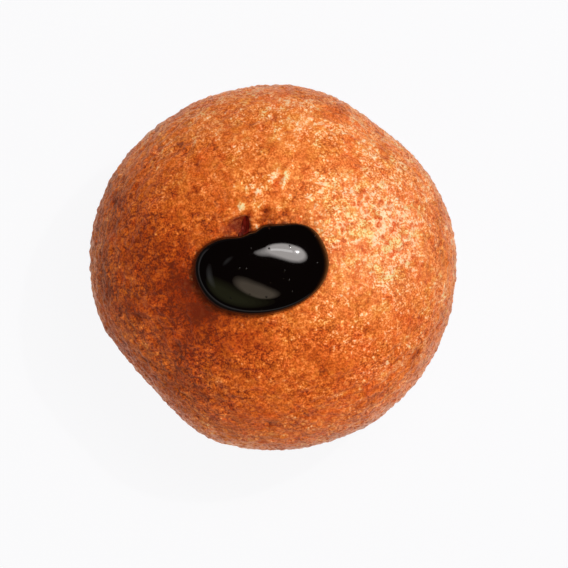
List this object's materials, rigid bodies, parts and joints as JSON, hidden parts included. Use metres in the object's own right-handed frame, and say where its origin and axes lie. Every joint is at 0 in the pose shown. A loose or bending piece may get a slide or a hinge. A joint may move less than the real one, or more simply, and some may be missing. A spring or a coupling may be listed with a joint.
{
  "type": "bunuelo",
  "caption": "Round golden-brown fried dough bun with a glossy dark drop of filling on its crown, lying on a small flat spot.",
  "frame": {"origin": "middle of the footprint, on the surface that the bun rests on", "axes": "+Z up through the crown; seen from above +X is to the right and +Y is up, with the filling's hole on the +Y side of the drop"},
  "size_m": [0.0844, 0.0842, 0.0625],
  "materials": {
    "crust": "grainy fried crust with an oily satin sheen",
    "filling": "wet mirror gloss, dark red where it is thin"
  },
  "bodies": {
    "root": {"fried_dough": "crust", "filling_drop": "filling"}
  },
  "joints": []
}
